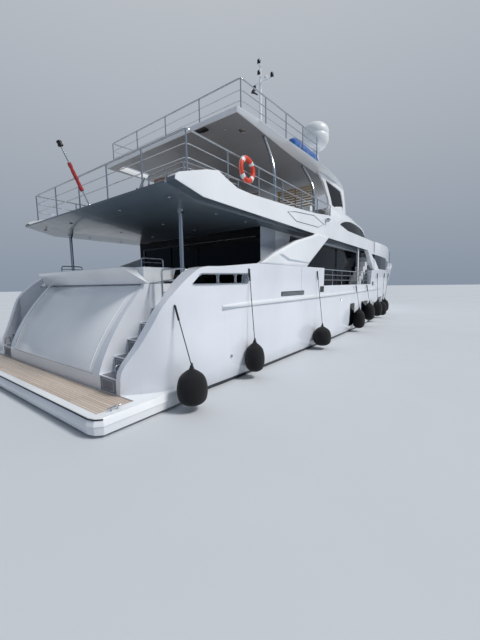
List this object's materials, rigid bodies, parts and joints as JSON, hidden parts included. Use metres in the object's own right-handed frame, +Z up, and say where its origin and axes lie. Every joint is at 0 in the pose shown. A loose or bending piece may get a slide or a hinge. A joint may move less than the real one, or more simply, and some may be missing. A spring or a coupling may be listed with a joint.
{
  "type": "motor yacht",
  "caption": "Raised-pilothouse motor yacht with swim platform, open upper deck, hardtop sun deck, opening stern garage, sliding saloon doors, turning propellers and rudders.",
  "frame": {"origin": "on the centreline at the waterline, amidships", "axes": "+X forward to the bow, +Y to port, +Z up from the water"},
  "size_m": [31.628, 7.915, 13.8436],
  "materials": {
    "gelcoat": "white gloss gelcoat over glass-reinforced plastic",
    "teak": "weathered teak planks with dark caulking",
    "cushion": "woven outdoor fabric in beige",
    "cover": "blue canvas cover",
    "life_ring": "orange shell with pale bands",
    "ensign": "red furled cloth on a white staff",
    "tinted_glass": "dark tinted glass",
    "stainless": "polished stainless steel",
    "bronze": "propeller bronze",
    "fender_cover": "black knitted fender cover"
  },
  "bodies": {
    "yacht": {"hull": "gelcoat", "swim_platform": "gelcoat", "platform_teak": "teak", "aft_coaming": "gelcoat", "main_deck_teak": "teak", "cockpit_sofa": "cushion", "cockpit_table": "gelcoat", "deckhouse": "gelcoat", "saloon_glazing": "tinted_glass", "forward_house": "gelcoat", "upper_deck": "gelcoat", "pilothouse": "gelcoat", "pilothouse_glazing": "tinted_glass", "helm_front": "gelcoat", "hardtop": "gelcoat", "hardtop_rail": "stainless", "fly_rail": "stainless", "bow_rail": "stainless", "mast": "gelcoat", "satcom_dome": "gelcoat", "cover_bundle": "cover", "hardtop_sunpad": "cushion", "fly_sofa": "cushion", "fly_table": "teak", "helm_bench": "cushion", "life_ring": "life_ring", "ensign_staff": "ensign", "bulwark_starboard": "gelcoat", "forward_glass_starboard": "tinted_glass", "buttress_starboard": "gelcoat", "cockpit_post_starboard": "stainless", "balcony_rail_starboard": "stainless", "hardtop_post_aft_starboard": "stainless", "hardtop_post_fore_starboard": "stainless", "shaft_starboard": "stainless", "bulwark_port": "gelcoat", "forward_glass_port": "tinted_glass", "buttress_port": "gelcoat", "cockpit_post_port": "stainless", "balcony_rail_port": "stainless", "hardtop_post_aft_port": "stainless", "hardtop_post_fore_port": "stainless", "shaft_port": "stainless", "fender_1": "fender_cover", "fender_2": "fender_cover", "fender_3": "fender_cover", "fender_4": "fender_cover", "fender_5": "fender_cover", "fender_6": "fender_cover", "fender_7": "fender_cover", "fender_8": "fender_cover"},
    "garage_door": {"garage_door": "gelcoat"},
    "stair_gate_starboard": {"stair_gate_starboard": "stainless"},
    "saloon_door_starboard": {"saloon_door_starboard": "tinted_glass"},
    "propeller_starboard": {"propeller_starboard": "bronze"},
    "rudder_starboard": {"rudder_starboard": "bronze"},
    "stair_gate_port": {"stair_gate_port": "stainless"},
    "saloon_door_port": {"saloon_door_port": "tinted_glass"},
    "propeller_port": {"propeller_port": "bronze"},
    "rudder_port": {"rudder_port": "bronze"}
  },
  "joints": [
    {"name": "garage_door_hinge", "type": "hinge", "parent": "yacht", "child": "garage_door", "pos_m": [-13.835, 0, 2.208], "axis": [0, 1, 0], "range_deg": [0, 75]},
    {"name": "stair_gate_starboard_hinge", "type": "hinge", "parent": "yacht", "child": "stair_gate_starboard", "pos_m": [-13.56, -3.263, 2.2], "axis": [0, 0, -1], "range_deg": [0, 90]},
    {"name": "saloon_door_starboard_slide", "type": "slide", "parent": "yacht", "child": "saloon_door_starboard", "axis": [0, -1, 0], "range_m": [0, 1.1]},
    {"name": "propeller_starboard_spin", "type": "hinge", "parent": "yacht", "child": "propeller_starboard", "pos_m": [-13.18, -1.5, -1.53318], "axis": [-0.9878, 0, -0.1558], "continuous": true},
    {"name": "rudder_starboard_turn", "type": "hinge", "parent": "yacht", "child": "rudder_starboard", "pos_m": [-14.25, -1.45, -0.6], "axis": [0, 0, 1], "range_deg": [-35, 35]},
    {"name": "stair_gate_port_hinge", "type": "hinge", "parent": "yacht", "child": "stair_gate_port", "pos_m": [-13.56, 3.263, 2.2], "axis": [0, 0, 1], "range_deg": [0, 90]},
    {"name": "saloon_door_port_slide", "type": "slide", "parent": "yacht", "child": "saloon_door_port", "axis": [0, 1, 0], "range_m": [0, 1.1]},
    {"name": "propeller_port_spin", "type": "hinge", "parent": "yacht", "child": "propeller_port", "pos_m": [-13.18, 1.5, -1.53318], "axis": [-0.9878, 0, -0.1558], "continuous": true},
    {"name": "rudder_port_turn", "type": "hinge", "parent": "yacht", "child": "rudder_port", "pos_m": [-14.25, 1.45, -0.6], "axis": [0, 0, 1], "range_deg": [-35, 35]}
  ],
  "couplings": [
    {"joint": "rudder_port_turn", "follows": "rudder_starboard_turn", "ratio": 1}
  ]
}
